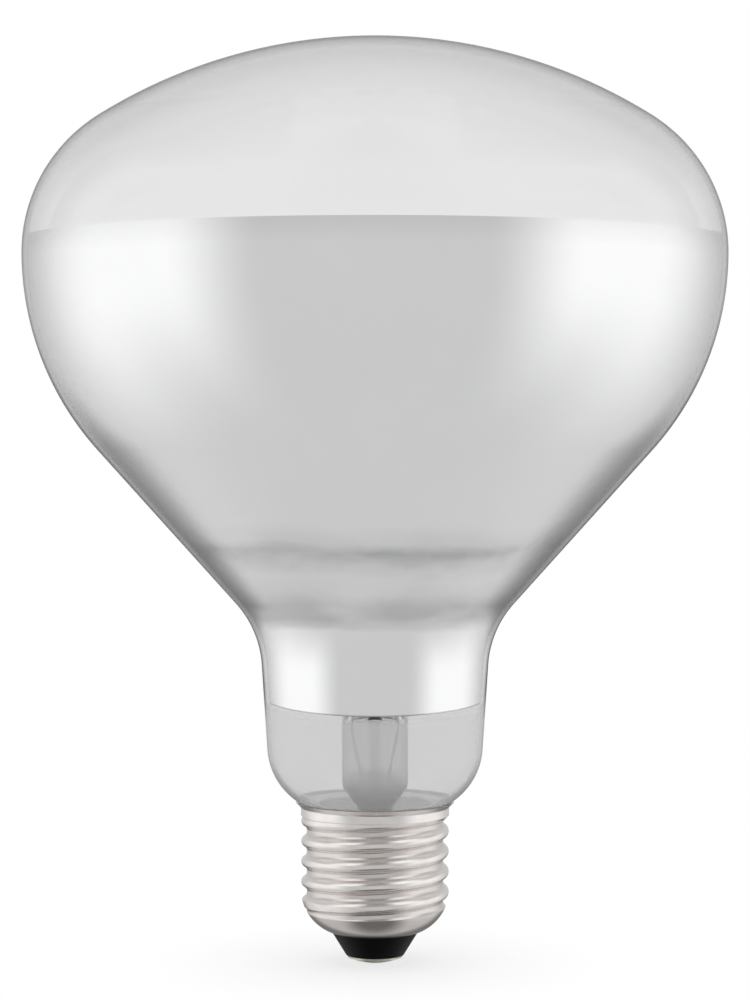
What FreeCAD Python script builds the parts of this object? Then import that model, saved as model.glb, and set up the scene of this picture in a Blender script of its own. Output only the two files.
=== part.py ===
import FreeCAD, Part
import math
import os
from types import SimpleNamespace

import Sketcher
from FreeCAD import Placement, Rotation, Vector

# Driving sizes in millimetres and degrees. A height is measured up from the tip of the centre contact.
SIZES = {
    # Blown glass bulb
    "overall_length": 164.4,
    "bulb_diameter": 125.0,
    "widest_height": 126.2,
    "dome_shoulder_radius": 28.2,
    "side_radius": 52.0,
    "cone_angle": 41.8,
    "throat_radius": 18.3,
    "neck_diameter": 38.5,
    "neck_taper": 3.7,
    "neck_foot_radius": 12.0,
    "neck_end_diameter": 22.0,
    "neck_end_length": 9.2,
    "neck_sink": 1.2,
    "glass_wall": 0.8,
    # Mirror film on the inside of the bulb
    "film_thickness": 0.2,
    "film_top_height": 129.0,
    "film_bottom_height": 47.2,
    "film_bottom_tilt": 4.4,
    # Screw shell of the cap
    "cap_length": 28.6,
    "thread_diameter": 26.4,
    "thread_depth": 1.05,
    "thread_pitch": 3.629,
    "thread_root_land": 0.05,
    "thread_start_height": 7.1,
    "collar_height": 2.3,
    "collar_rise": 0.05,
    "lip_clearance": 0.08,
    "shell_sheet": 0.35,
    "shell_foot_height": 5.4,
    "shell_foot_diameter": 16.0,
    "shell_foot_radius": 8.0,
    "thread_runout": 0.06,
    # Black glass and contact at the foot of the cap
    "insulator_top_height": 8.6,
    "insulator_diameter": 15.6,
    "insulator_tip_diameter": 10.4,
    "insulator_tip_height": 1.2,
    "contact_diameter": 9.8,
    "contact_recess": 0.3,
    "contact_thickness": 0.7,
    "eyelet_diameter": 3.0,
    "eyelet_length": 3.0,
    "solder_diameter": 9.2,
    "solder_flat_diameter": 4.4,
    "solder_rise": 0.45,
    "solder_shoulder_diameter": 7.8,
    "solder_rounding": 1.0,
    # Cement between the shell and the neck
    "cement_length": 5.4,
    "cement_drop": 0.3,
    # Glass stem with its press
    "stem_diameter": 11.8,
    "stem_wall": 0.9,
    "flare_rim": 1.4,
    "waist_diameter": 6.2,
    "waist_length": 0.8,
    "waist_drop": 1.6,
    "waist_rounding": 0.7,
    "stem_shoulder_rise": 3.6,
    "stem_shoulder_rounding": 2.0,
    "stem_hollow_height": 45.0,
    "stem_hollow_rounding": 3.0,
    "press_length": 8.4,
    "press_thickness": 5.0,
    "press_slope_start": 1.4,
    "press_slope_length": 5.5,
    # Exhaust tube, sealed off inside the cap
    "exhaust_diameter": 2.3,
    "exhaust_bore": 1.1,
    "exhaust_mouth_diameter": 3.0,
    "exhaust_mouth_length": 1.5,
    "exhaust_tip_height": 12.0,
    "exhaust_tip_length": 2.0,
    # Leads
    "lead_spacing": 8.2,
    "outer_lead_diameter": 0.44,
    "outer_lead_waist_offset": 1.7,
    "outer_lead_bend": 2.0,
    "outer_lead_straight": 4.0,
    "outer_lead_waist_rise": 3.0,
    "outer_lead_tip_rise": 1.0,
    "outer_lead_tip_drop": 2.0,
    "side_lead_drop": 2.5,
    "side_lead_clearance": 0.05,
    "inner_lead_diameter": 1.0,
    "inner_lead_bend": 6.0,
    "inner_lead_spread_height": 60.0,
    "inner_lead_rise": 12.0,
    "inner_lead_overlap": 1.0,
    "lead_joint_height": 48.0,
    # Filament wreath and its supports
    "filament_height": 100.0,
    "filament_ring_diameter": 32.0,
    "filament_coil_diameter": 1.2,
    "filament_sweep": 270.0,
    "support_wire_diameter": 0.5,
    "support_clearance": 0.05,
    "support_loop_turn": 260.0,
    "support_root_radius": 1.5,
    "rod_diameter": 3.2,
    "button_diameter": 6.4,
    "button_length": 4.0,
    "button_rounding": 1.2,
}
SUPPORT_COUNT = 5
# The most of the dome's rise that its shoulder may take up
SHOULDER_SHARE = 0.8
# How far a cutting outline runs past the face that it opens
OVERRUN = 1.0
# The part of a turn that the thread's ridge runs past the rim before it is cut off
SPARE_TURN = 0.1

doc = FreeCAD.newDocument("heat_lamp")
sheet = doc.addObject("Spreadsheet::Sheet", "Sizes")
for row, (alias, number) in enumerate(SIZES.items(), start=1):
    sheet.set(f"A{row}", alias)
    sheet.set(f"B{row}", str(number))
    sheet.setAlias(f"B{row}", alias)
doc.recompute()


class Formula:
    """A number together with the sheet formula that gives it."""

    def __init__(self, value, text):
        self.value = value
        self.text = text

    def combined(self, sign, other, value):
        return Formula(value, f"({self.text} {sign} {other.text})")

    def __add__(self, other):
        other = formula(other)
        return self.combined("+", other, self.value + other.value)

    def __sub__(self, other):
        other = formula(other)
        return self.combined("-", other, self.value - other.value)

    def __mul__(self, other):
        other = formula(other)
        return self.combined("*", other, self.value * other.value)

    def __truediv__(self, other):
        other = formula(other)
        return self.combined("/", other, self.value / other.value)

    def __neg__(self):
        return Formula(-self.value, f"(0 - {self.text})")


def formula(number):
    return number if isinstance(number, Formula) else Formula(float(number), str(number))


def square_root(term):
    return Formula(math.sqrt(term.value), f"sqrt({term.text})")


def smaller(first, second):
    return Formula(min(first.value, second.value), f"min({first.text}; {second.text})")


def cosine(angle):
    return Formula(math.cos(math.radians(angle.value)), f"cos({angle.text})")


def tangent(angle):
    return Formula(math.tan(math.radians(angle.value)), f"tan({angle.text})")


s = SimpleNamespace(**{name: Formula(float(sheet.get(name)), f"Sizes.{name}") for name in SIZES})

# Places that several pieces share
bulb_radius = s.bulb_diameter / 2
dome_rise = s.overall_length - s.widest_height
shoulder_radius = smaller(s.dome_shoulder_radius, dome_rise * SHOULDER_SHARE)
neck_end_radius = s.neck_end_diameter / 2
neck_end_height = s.cap_length - s.neck_end_length
foot_centre_r = s.neck_diameter / 2 - s.neck_foot_radius * cosine(s.neck_taper)
foot_reach = neck_end_radius - foot_centre_r
foot_drop = square_root(s.neck_foot_radius * s.neck_foot_radius - foot_reach * foot_reach)
foot_centre_z = s.cap_length - s.neck_sink + foot_drop
foot_depth = foot_drop - s.neck_sink
glass_rim_r = foot_centre_r + square_root(s.neck_foot_radius * s.neck_foot_radius - foot_depth * foot_depth)

crest_radius = s.thread_diameter / 2
root_radius = crest_radius - s.thread_depth + s.thread_root_land
bore_radius = root_radius - s.shell_sheet
collar_radius = crest_radius + s.collar_rise
collar_bore_radius = collar_radius - s.shell_sheet
collar_slope = collar_radius - root_radius
# How far up a bend of 45 degrees moves from the outer face of the sheet to its inner face
sheet_bevel = s.shell_sheet * tangent(formula(22.5))
collar_foot_height = s.cap_length - s.collar_height
collar_bore_height = collar_foot_height + sheet_bevel
lip_bore_height = s.cap_length - (glass_rim_r + s.lip_clearance - collar_bore_radius)
shell_foot_r = s.shell_foot_diameter / 2
shell_arc_r = crest_radius + s.thread_runout - s.shell_foot_radius
shell_arc_reach = shell_foot_r - shell_arc_r
shell_arc_z = s.shell_foot_height + square_root(
    s.shell_foot_radius * s.shell_foot_radius - shell_arc_reach * shell_arc_reach
)
shell_arc_inner = s.shell_foot_radius - s.shell_sheet

contact_top_height = s.insulator_tip_height + s.contact_recess
contact_foot_height = contact_top_height - s.contact_thickness
press_top_height = s.stem_hollow_height + s.press_length
waist_height = s.cap_length - s.waist_drop
lead_lean_height = s.stem_hollow_height - s.outer_lead_straight
lead_waist_height = waist_height + s.outer_lead_waist_rise
loop_radius = s.filament_coil_diameter / 2 + s.support_clearance + s.support_wire_diameter / 2
button_height = s.filament_height - loop_radius
ring_radius = s.filament_ring_diameter / 2
lead_offset = s.lead_spacing / 2


class Outline:
    """A sketch on one of its body's own planes, drawn and dimensioned with formulas."""

    def __init__(self, body, name, plane="XZ_Plane", offset=None):
        self.sketch = body.newObject("Sketcher::SketchObject", name)
        support = next(item for item in body.Origin.OriginFeatures if item.Role == plane)
        self.sketch.AttachmentSupport = [(support, "")]
        self.sketch.MapMode = "FlatFace"
        if offset is not None:
            self.sketch.setExpression("AttachmentOffset.Base.z", offset.text)

    def line(self, start, end):
        return self.sketch.addGeometry(Part.LineSegment(Vector(*start), Vector(*end)), False)

    def arc(self, centre, start, end):
        """An arc about a centre, counterclockwise from one point to the other."""
        spoke = Vector(*start) - Vector(*centre)
        circle = Part.Circle(Vector(*centre), Vector(0, 0, 1), spoke.Length)
        first = math.atan2(start[1] - centre[1], start[0] - centre[0])
        last = math.atan2(end[1] - centre[1], end[0] - centre[0])
        return self.sketch.addGeometry(Part.ArcOfCircle(circle, first, last), False)

    def circle(self, centre, radius):
        shape = Part.Circle(Vector(centre[0].value, centre[1].value), Vector(0, 0, 1), radius.value)
        index = self.sketch.addGeometry(shape, False)
        self.bind("Radius", (index,), radius)
        self.place(index, 3, *centre)
        return index

    def tie(self, kind, *ends):
        return self.sketch.addConstraint(Sketcher.Constraint(kind, *ends))

    def bind(self, kind, ends, amount):
        start = math.radians(amount.value) if kind == "Angle" else amount.value
        index = self.sketch.addConstraint(Sketcher.Constraint(kind, *ends, start))
        self.sketch.setExpression(f"Constraints[{index}]", amount.text)

    def place(self, item, end, x, y):
        """Hold a point at x and y from the sketch's origin."""
        self.hold(item, end, x, "DistanceX", -2)
        self.hold(item, end, y, "DistanceY", -1)

    def hold(self, item, end, amount, kind, axis):
        if amount.value == 0:
            self.tie("PointOnObject", item, end, axis)
        else:
            self.bind(kind, (-1, 1, item, end), amount)

    def polygon(self, corners):
        """Close straight runs through corners given as (x, y) or (x, y, rounding)."""
        spots = [tuple(formula(number) for number in corner) for corner in corners]
        count = len(spots)
        points = [Vector(spot[0].value, spot[1].value) for spot in spots]
        rounds = []
        for i, spot in enumerate(spots):
            rounding = spot[2].value if len(spot) == 3 else 0
            rounds.append(rounded_corner(points[i - 1], points[i], points[(i + 1) % count], rounding))
        runs = [self.line(rounds[i][1], rounds[(i + 1) % count][0]) for i in range(count)]
        for i, spot in enumerate(spots):
            if len(spot) == 2:
                self.tie("Coincident", runs[i - 1], 2, runs[i], 1)
                self.place(runs[i], 1, spot[0], spot[1])
            else:
                self.round_off(runs[i - 1], runs[i], points[i], rounds[i], spot)

    def round_off(self, run_in, run_out, point, rounded, spot):
        enter, leave, centre, left_turn = rounded
        arc = self.arc(centre, enter, leave) if left_turn else self.arc(centre, leave, enter)
        corner = self.sketch.addGeometry(Part.Point(point), True)
        self.place(corner, 1, spot[0], spot[1])
        self.tie("PointOnObject", corner, 1, run_in)
        self.tie("PointOnObject", corner, 1, run_out)
        self.tie("Tangent", run_in, 2, arc, 1 if left_turn else 2)
        self.tie("Tangent", arc, 2 if left_turn else 1, run_out, 1)
        self.bind("Radius", (arc,), spot[2])


def rounded_corner(before, corner, after, rounding):
    """Where an arc enters and leaves a corner, its centre, and whether the corner turns left."""
    back = (before - corner).normalize()
    ahead = (after - corner).normalize()
    left_turn = (ahead.cross(back)).z > 0
    if rounding == 0:
        return corner, corner, None, left_turn
    half = back.getAngle(ahead) / 2
    reach = rounding / math.tan(half)
    centre = corner + (back + ahead).normalize() * (rounding / math.sin(half))
    return corner + back * reach, corner + ahead * reach, centre, left_turn


def new_body(label):
    body = doc.addObject("PartDesign::Body", label)
    body.Label = label
    return body


def add_feature(body, kind, outline, name, **settings):
    feature = body.newObject(f"PartDesign::{kind}", name)
    feature.Profile = outline.sketch
    for key, setting in settings.items():
        setattr(feature, key, setting)
    doc.recompute()
    return feature


def turned(body, outline, name):
    """Add the solid that an outline sweeps about the lamp's axis."""
    axis = (outline.sketch, ["V_Axis"])
    return add_feature(body, "Revolution", outline, name, ReferenceAxis=axis, Angle=360)


def turned_away(body, outline, name):
    """Cut away what an outline sweeps about the lamp's axis."""
    axis = (outline.sketch, ["V_Axis"])
    before = body.Shape.Volume
    add_feature(body, "Groove", outline, name, ReferenceAxis=axis, Angle=360)
    check_cut(body, before, name)


def check_cut(body, before, name):
    if body.Shape.Volume >= before - 1e-6:
        raise RuntimeError(f"{name} cut nothing from {body.Label}")


def cut_across(body, outline, name, width):
    """Cut an outline away, half of the width to each side of its plane."""
    before = body.Shape.Volume
    cut = add_feature(body, "Pocket", outline, name, Midplane=True)
    cut.setExpression("Length", width.text)
    doc.recompute()
    check_cut(body, before, name)


def draw_bulb(outline, inset, bottom):
    """The line of the blown glass at a depth below its outer face, closed along the axis."""
    inset = formula(inset)
    depth = inset.value
    alpha = math.radians(s.cone_angle.value)
    taper = math.radians(s.neck_taper.value)
    cone_out = Vector(math.cos(alpha), -math.sin(alpha))
    neck_out = Vector(math.cos(taper), -math.sin(taper))
    foot_centre = Vector(foot_centre_r.value, foot_centre_z.value)
    side_centre = Vector((bulb_radius - s.side_radius).value, s.widest_height.value)
    shoulder_centre = Vector((bulb_radius - shoulder_radius).value, s.widest_height.value)

    # Foot of the neck, a convex arc that runs into the straight end inside the cap
    foot = s.neck_foot_radius.value - depth
    end_r = neck_end_radius.value - depth
    end_z = foot_centre.y - math.sqrt(foot**2 - (end_r - foot_centre.x) ** 2)
    neck_end = Vector(end_r, end_z)
    neck_low = foot_centre + neck_out * foot

    # Throat, a concave arc tangent to the neck and the cone
    throat = s.throat_radius.value + depth
    cone_high = side_centre + cone_out * (s.side_radius.value - depth)
    cone_push = cone_out.dot(cone_high) + throat
    neck_push = neck_out.dot(neck_low) + throat
    spread = cone_out.x * neck_out.y - cone_out.y * neck_out.x
    throat_centre = Vector(
        (cone_push * neck_out.y - neck_push * cone_out.y) / spread,
        (cone_out.x * neck_push - neck_out.x * cone_push) / spread,
    )
    cone_low = throat_centre - cone_out * throat
    neck_high = throat_centre - neck_out * throat

    # Dome, an arc about the axis tangent to the shoulder
    shoulder = shoulder_radius.value
    rise = dome_rise.value
    dome = (shoulder_centre.x**2 + rise**2 - shoulder**2) / (2 * rise - 2 * shoulder)
    dome_centre = Vector(0, s.overall_length.value - dome)
    dome_edge = dome_centre + (shoulder_centre - dome_centre).normalize() * (dome - depth)
    widest = Vector(bulb_radius.value - depth, s.widest_height.value)
    apex = Vector(0, s.overall_length.value - depth)

    base = outline.line(Vector(0, bottom.value), Vector(end_r, bottom.value))
    end_run = outline.line(Vector(end_r, bottom.value), neck_end)
    foot_arc = outline.arc(foot_centre, neck_end, neck_low)
    neck_run = outline.line(neck_low, neck_high)
    throat_arc = outline.arc(throat_centre, cone_low, neck_high)
    cone_run = outline.line(cone_low, cone_high)
    side_arc = outline.arc(side_centre, cone_high, widest)
    shoulder_arc = outline.arc(shoulder_centre, widest, dome_edge)
    dome_arc = outline.arc(dome_centre, dome_edge, apex)
    axis_run = outline.line(apex, Vector(0, bottom.value))

    outline.place(base, 1, formula(0), bottom)
    outline.place(base, 2, neck_end_radius - inset, bottom)
    outline.tie("Coincident", base, 2, end_run, 1)
    outline.bind("DistanceX", (-1, 1, end_run, 2), neck_end_radius - inset)
    outline.tie("Coincident", end_run, 2, foot_arc, 1)
    outline.place(foot_arc, 3, foot_centre_r, foot_centre_z)
    outline.bind("Radius", (foot_arc,), s.neck_foot_radius - inset)
    outline.tie("Tangent", foot_arc, 2, neck_run, 1)
    outline.bind("Angle", (neck_run,), formula(90) - s.neck_taper)
    outline.tie("Tangent", neck_run, 2, throat_arc, 2)
    outline.bind("Radius", (throat_arc,), s.throat_radius + inset)
    outline.tie("Tangent", throat_arc, 1, cone_run, 1)
    outline.bind("Angle", (cone_run,), formula(90) - s.cone_angle)
    outline.tie("Tangent", cone_run, 2, side_arc, 1)
    outline.place(side_arc, 3, bulb_radius - s.side_radius, s.widest_height)
    outline.bind("Radius", (side_arc,), s.side_radius - inset)
    outline.bind("DistanceY", (-1, 1, side_arc, 2), s.widest_height)
    outline.tie("Tangent", side_arc, 2, shoulder_arc, 1)
    outline.bind("Radius", (shoulder_arc,), shoulder_radius - inset)
    outline.tie("Tangent", shoulder_arc, 2, dome_arc, 1)
    outline.tie("PointOnObject", dome_arc, 3, -2)
    outline.place(dome_arc, 2, formula(0), s.overall_length - inset)
    outline.tie("Coincident", dome_arc, 2, axis_run, 1)
    outline.tie("Coincident", axis_run, 2, base, 1)


def glass_envelope():
    body = new_body("glass_envelope")
    outer = Outline(body, "envelope_outer_line")
    draw_bulb(outer, 0, neck_end_height)
    turned(body, outer, "envelope_blank")
    inner = Outline(body, "envelope_inner_line")
    draw_bulb(inner, s.glass_wall, neck_end_height - OVERRUN)
    turned_away(body, inner, "envelope_hollow")
    return body


def reflector_coating():
    body = new_body("reflector_coating")
    outer = Outline(body, "film_outer_line")
    draw_bulb(outer, s.glass_wall, neck_end_height)
    turned(body, outer, "film_blank")
    inner = Outline(body, "film_inner_line")
    draw_bulb(inner, s.glass_wall + s.film_thickness, neck_end_height - OVERRUN)
    turned_away(body, inner, "film_hollow")
    above = Outline(body, "clear_dome_line")
    wide = bulb_radius + OVERRUN
    high = s.overall_length + OVERRUN
    above.polygon([(0, s.film_top_height), (wide, s.film_top_height), (wide, high), (0, high)])
    turned_away(body, above, "clear_dome")
    # The lower edge of the film runs a little askew, lowest at the front
    below = Outline(body, "clear_neck_line", "YZ_Plane")
    low = neck_end_height - OVERRUN
    lean = wide * tangent(s.film_bottom_tilt)
    front_edge = s.film_bottom_height - lean
    back_edge = s.film_bottom_height + lean
    below.polygon([(-wide, low), (wide, low), (wide, back_edge), (-wide, front_edge)])
    cut_across(body, below, "clear_neck", wide * 2)
    return body


def draw_thread_ridge(outline, inset):
    """One ridge of the rolled thread at a depth below its outer face, a crest between two hollow flanks."""
    rounding = (s.thread_pitch * s.thread_pitch / 4 + s.thread_depth * s.thread_depth) / (s.thread_depth * 4)
    half = s.thread_pitch / 2
    gap = s.thread_pitch / 24
    low = s.thread_start_height - half
    high = s.thread_start_height + half
    buried = root_radius - inset - s.shell_sheet / 2
    hollow_r = (crest_radius - s.thread_depth + rounding).value
    crest_centre = Vector((crest_radius - rounding).value, s.thread_start_height.value)
    hollow_low = Vector(hollow_r, low.value)
    hollow_high = Vector(hollow_r, high.value)
    reach = (rounding - inset).value / (rounding * 2).value
    bend_low = crest_centre + (hollow_low - crest_centre) * reach
    bend_high = crest_centre + (hollow_high - crest_centre) * reach
    foot_r = hollow_r - math.sqrt((rounding + inset).value ** 2 - gap.value**2)
    foot_low = Vector(foot_r, (low + gap).value)
    foot_high = Vector(foot_r, (high - gap).value)
    root_low = Vector(buried.value, foot_low.y)
    root_high = Vector(buried.value, foot_high.y)

    flank_low = outline.arc(hollow_low, bend_low, foot_low)
    crest = outline.arc(crest_centre, bend_low, bend_high)
    flank_high = outline.arc(hollow_high, foot_high, bend_high)
    wall_high = outline.line(foot_high, root_high)
    back = outline.line(root_high, root_low)
    wall_low = outline.line(root_low, foot_low)

    outline.place(crest, 3, crest_radius - rounding, s.thread_start_height)
    outline.bind("Radius", (crest,), rounding - inset)
    for flank, height in ((flank_low, low), (flank_high, high)):
        outline.bind("Radius", (flank,), rounding + inset)
        outline.bind("DistanceY", (-1, 1, flank, 3), height)
    outline.tie("Tangent", flank_low, 1, crest, 1)
    outline.tie("Tangent", crest, 2, flank_high, 2)
    outline.tie("Coincident", flank_high, 1, wall_high, 1)
    outline.tie("Coincident", wall_high, 2, back, 1)
    outline.tie("Coincident", back, 2, wall_low, 1)
    outline.tie("Coincident", wall_low, 2, flank_low, 2)
    outline.bind("DistanceY", (-1, 1, wall_high, 1), high - gap)
    outline.place(back, 1, buried, high - gap)
    outline.place(back, 2, buried, low + gap)
    outline.bind("DistanceY", (-1, 1, wall_low, 2), low + gap)


def shell_arc_height(radius, reach_r):
    """Height at which an arc about the centre of the shell's foot reaches a radius from the axis."""
    reach = reach_r - shell_arc_r
    return shell_arc_z - square_root(radius * radius - reach * reach)


def draw_shell_trim(outline, inset):
    """All that lies outside the round foot of the shell, so that the thread fades out there."""
    wide = crest_radius + OVERRUN * 3
    low = s.thread_start_height - s.thread_pitch * 2
    radius = s.shell_foot_radius - inset
    edge_z = shell_arc_height(radius, shell_foot_r)
    edge = Vector(shell_foot_r.value, edge_z.value)
    brow = Vector((shell_arc_r + radius).value, shell_arc_z.value)
    centre = Vector(shell_arc_r.value, shell_arc_z.value)
    wide_high = Vector(wide.value, brow.y)
    wide_low = Vector(wide.value, low.value)
    edge_low = Vector(edge.x, low.value)
    corners = [brow, wide_high, wide_low, edge_low, edge]
    arc = outline.arc(centre, edge, brow)
    runs = [outline.line(start, end) for start, end in zip(corners, corners[1:])]
    outline.place(arc, 3, shell_arc_r, shell_arc_z)
    outline.place(arc, 1, shell_foot_r, edge_z)
    outline.bind("DistanceY", (-1, 1, arc, 2), shell_arc_z)
    outline.tie("Coincident", arc, 2, runs[0], 1)
    for first, second in zip(runs, runs[1:]):
        outline.tie("Coincident", first, 2, second, 1)
    outline.tie("Coincident", runs[-1], 2, arc, 1)
    outline.place(runs[1], 1, wide, shell_arc_z)
    outline.place(runs[2], 1, wide, low)
    outline.place(runs[3], 1, shell_foot_r, low)


def draw_with_foot_arc(outline, path):
    """Straight runs along a path, closed from its last point to its first by the shell's inner foot arc."""
    spots = [Vector(x.value, y.value) for x, y in path]
    runs = [outline.line(start, end) for start, end in zip(spots, spots[1:])]
    arc = outline.arc(Vector(shell_arc_r.value, shell_arc_z.value), spots[-1], spots[0])
    outline.place(arc, 3, shell_arc_r, shell_arc_z)
    outline.bind("Radius", (arc,), shell_arc_inner)
    for first, second in zip(runs, runs[1:]):
        outline.tie("Coincident", first, 2, second, 1)
    outline.tie("Coincident", runs[-1], 2, arc, 1)
    outline.tie("Coincident", arc, 2, runs[0], 1)
    for run, (x, y) in list(zip(runs, path))[1:]:
        outline.place(run, 1, x, y)
    outline.hold(runs[-1], 2, path[-1][0], "DistanceX", -2)
    outline.hold(runs[0], 1, path[0][0], "DistanceX", -2)


def shell_form(label, inset, overrun):
    """The rolled form of the shell at a depth below its outer face, as a solid that runs past both ends."""
    inset = formula(inset)
    bevel = inset * tangent(formula(22.5))
    foot = s.shell_foot_height - overrun
    rim = s.cap_length + overrun
    root = root_radius - inset
    collar = collar_radius - inset
    slope_top = collar_foot_height + bevel
    lip_foot = lip_bore_height - sheet_bevel + bevel
    body = new_body(label)
    blank = Outline(body, f"{label}_blank_line")
    blank.polygon([
        (0, foot),
        (root, foot),
        (root, slope_top - collar_slope),
        (collar, slope_top),
        (collar, lip_foot),
        (collar + rim - lip_foot, rim),
        (0, rim),
    ])
    turned(body, blank, f"{label}_blank")

    ridge = Outline(body, f"{label}_ridge_line")
    draw_thread_ridge(ridge, inset)
    before = body.Shape.Volume
    helix = body.newObject("PartDesign::AdditiveHelix", f"{label}_ridge")
    helix.Profile = ridge.sketch
    helix.ReferenceAxis = (ridge.sketch, ["V_Axis"])
    helix.Mode = "pitch-turns-angle"
    helix.setExpression("Pitch", s.thread_pitch.text)
    climb = rim + s.thread_pitch / 2 - s.thread_start_height
    helix.setExpression("Turns", (climb / s.thread_pitch + SPARE_TURN).text)
    helix.LeftHanded = False
    doc.recompute()
    if body.Shape.Volume <= before:
        raise RuntimeError(f"the thread added nothing to {label}")

    trim = Outline(body, f"{label}_foot_line")
    draw_shell_trim(trim, inset)
    turned_away(body, trim, f"{label}_foot")
    top = Outline(body, f"{label}_rim_line")
    wide = crest_radius + OVERRUN * 3
    high = rim + s.thread_pitch * 2
    top.polygon([(0, rim), (wide, rim), (wide, high), (0, high)])
    turned_away(body, top, f"{label}_rim")
    # The ridge starts on the far left of the shell
    body.Placement = Placement(Vector(), Rotation(Vector(0, 0, 1), 180))
    return body


def screw_shell():
    """The shell, rolled from sheet, so that its inside follows its outside."""
    shell = doc.addObject("Part::Cut", "screw_shell")
    shell.Label = "screw_shell"
    shell.Base = shell_form("shell_outside", 0, 0)
    shell.Tool = shell_form("shell_inside", s.shell_sheet, OVERRUN)
    doc.recompute()
    return shell


def insulator():
    body = new_body("insulator")
    line = Outline(body, "insulator_line")
    eyelet_r = s.eyelet_diameter / 2
    contact_r = s.contact_diameter / 2
    shoulder_drop = shell_arc_z - s.insulator_top_height
    top_r = shell_arc_r + square_root(shell_arc_inner * shell_arc_inner - shoulder_drop * shoulder_drop)
    path = [
        (top_r, s.insulator_top_height),
        (eyelet_r, s.insulator_top_height),
        (eyelet_r, contact_top_height),
        (contact_r, contact_top_height),
        (contact_r, s.insulator_tip_height),
        (s.insulator_tip_diameter / 2, s.insulator_tip_height),
        (s.insulator_diameter / 2, s.shell_foot_height),
        (shell_foot_r, s.shell_foot_height),
        (shell_foot_r, shell_arc_height(shell_arc_inner, shell_foot_r)),
    ]
    draw_with_foot_arc(line, path)
    turned(body, line, "insulator_glass")
    return body


def centre_contact():
    body = new_body("centre_contact")
    line = Outline(body, "contact_line")
    lead_r = s.outer_lead_diameter / 2
    eyelet_top = contact_top_height + s.eyelet_length
    line.polygon([
        (lead_r, contact_foot_height),
        (s.contact_diameter / 2, contact_foot_height),
        (s.contact_diameter / 2, contact_top_height),
        (s.eyelet_diameter / 2, contact_top_height),
        (s.eyelet_diameter / 2, eyelet_top),
        (lead_r, eyelet_top),
    ])
    turned(body, line, "contact_plate")
    return body


def contact_solder():
    body = new_body("contact_solder")
    line = Outline(body, "solder_line")
    lead_r = s.outer_lead_diameter / 2
    line.polygon([
        (0, 0),
        (s.solder_flat_diameter / 2, 0),
        (s.solder_shoulder_diameter / 2, s.solder_rise, s.solder_rounding),
        (s.solder_diameter / 2, contact_foot_height),
        (lead_r, contact_foot_height),
        (lead_r, contact_foot_height / 2),
        (0, contact_foot_height / 2),
    ])
    turned(body, line, "solder_drop")
    return body


def glass_stem():
    body = new_body("glass_stem")
    flare_r = neck_end_radius - s.glass_wall
    waist_r = s.waist_diameter / 2
    stem_r = s.stem_diameter / 2
    waist_low = waist_height - s.waist_length / 2
    waist_high = waist_height + s.waist_length / 2
    shoulder_z = waist_high + s.stem_shoulder_rise
    outer = Outline(body, "stem_outer_line")
    outer.polygon([
        (0, neck_end_height),
        (flare_r, neck_end_height),
        (flare_r, neck_end_height + s.flare_rim),
        (waist_r, waist_low, s.waist_rounding),
        (waist_r, waist_high, s.waist_rounding),
        (stem_r, shoulder_z, s.stem_shoulder_rounding),
        (stem_r, press_top_height),
        (0, press_top_height),
    ])
    turned(body, outer, "stem_blank")

    bevel = s.stem_wall * tangent(formula(22.5))
    low = neck_end_height - OVERRUN
    inner = Outline(body, "stem_inner_line")
    inner.polygon([
        (0, low),
        (flare_r - s.stem_wall, low),
        (flare_r - s.stem_wall, neck_end_height + s.flare_rim - bevel),
        (waist_r - s.stem_wall, waist_low - bevel),
        (waist_r - s.stem_wall, waist_high + bevel),
        (stem_r - s.stem_wall, shoulder_z + bevel),
        (stem_r - s.stem_wall, s.stem_hollow_height, s.stem_hollow_rounding),
        (0, s.stem_hollow_height),
    ])
    turned_away(body, inner, "stem_hollow")

    slope_low = s.stem_hollow_height - s.press_slope_start
    slope_high = slope_low + s.press_slope_length
    wide = stem_r + OVERRUN
    thin = s.press_thickness / 2
    high = press_top_height + OVERRUN
    pinch = Outline(body, "press_line", "YZ_Plane")
    for side in (1, -1):
        pinch.polygon([
            (stem_r * side, slope_low),
            (wide * side, slope_low),
            (wide * side, high),
            (thin * side, high),
            (thin * side, slope_high),
        ])
    cut_across(body, pinch, "press", wide * 2)

    hole_foot = s.stem_hollow_height - s.stem_hollow_rounding
    lead_holes(body, "inner_lead_holes", s.inner_lead_diameter, s.lead_joint_height)
    lead_holes(body, "outer_lead_holes", s.outer_lead_diameter, hole_foot)
    return body


def lead_holes(body, name, diameter, foot):
    """Two holes from the top of the press down to a height, where the leads are sealed in."""
    holes = Outline(body, f"{name}_line", "XY_Plane", press_top_height)
    holes.circle((lead_offset, formula(0)), diameter / 2)
    holes.circle((-lead_offset, formula(0)), diameter / 2)
    before = body.Shape.Volume
    cut = add_feature(body, "Pocket", holes, name)
    cut.setExpression("Length", (press_top_height - foot).text)
    doc.recompute()
    check_cut(body, before, name)


def exhaust_tube():
    body = new_body("exhaust_tube")
    line = Outline(body, "exhaust_line")
    tube_r = s.exhaust_diameter / 2
    bore_r = s.exhaust_bore / 2
    shoulder_z = s.exhaust_tip_height + s.exhaust_tip_length
    line.polygon([
        (0, s.exhaust_tip_height),
        (bore_r, s.exhaust_tip_height),
        (tube_r, shoulder_z),
        (tube_r, s.stem_hollow_height - s.exhaust_mouth_length),
        (s.exhaust_mouth_diameter / 2, s.stem_hollow_height),
        (bore_r, s.stem_hollow_height),
        (bore_r, shoulder_z + bore_r),
        (0, shoulder_z),
    ])
    turned(body, line, "exhaust_glass")
    return body


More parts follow.
